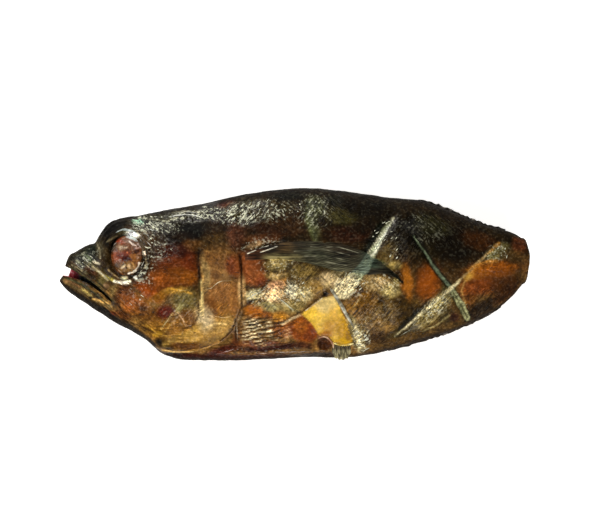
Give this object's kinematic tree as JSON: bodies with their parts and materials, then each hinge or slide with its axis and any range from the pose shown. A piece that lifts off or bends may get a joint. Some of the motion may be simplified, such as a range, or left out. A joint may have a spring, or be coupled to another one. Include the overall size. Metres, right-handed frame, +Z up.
{
  "type": "smoked fish",
  "caption": "Whole smoked fish with its head on and its tail fin gone, lying on its side, mouth open, net marks pressed into the skin.",
  "frame": {"origin": "on the supporting surface, under the centre of the bounding box", "axes": "-X to the snout, +Y to the back, +Z up out of the left flank, which is the one on show"},
  "size_m": [0.235, 0.0861, 0.0392],
  "materials": {
    "skin": "oily dried fish skin, golden to near black",
    "eye": "dried eyeball, wrinkled and glossy",
    "fin": "dried fin membrane and rays"
  },
  "bodies": {
    "root": {"body": "skin", "eye_left": "eye", "eye_right": "eye", "pectoral_fin_left": "fin", "pectoral_fin_right": "fin", "pelvic_fin": "fin", "dorsal_fin": "fin", "anal_fin": "fin"}
  },
  "joints": []
}
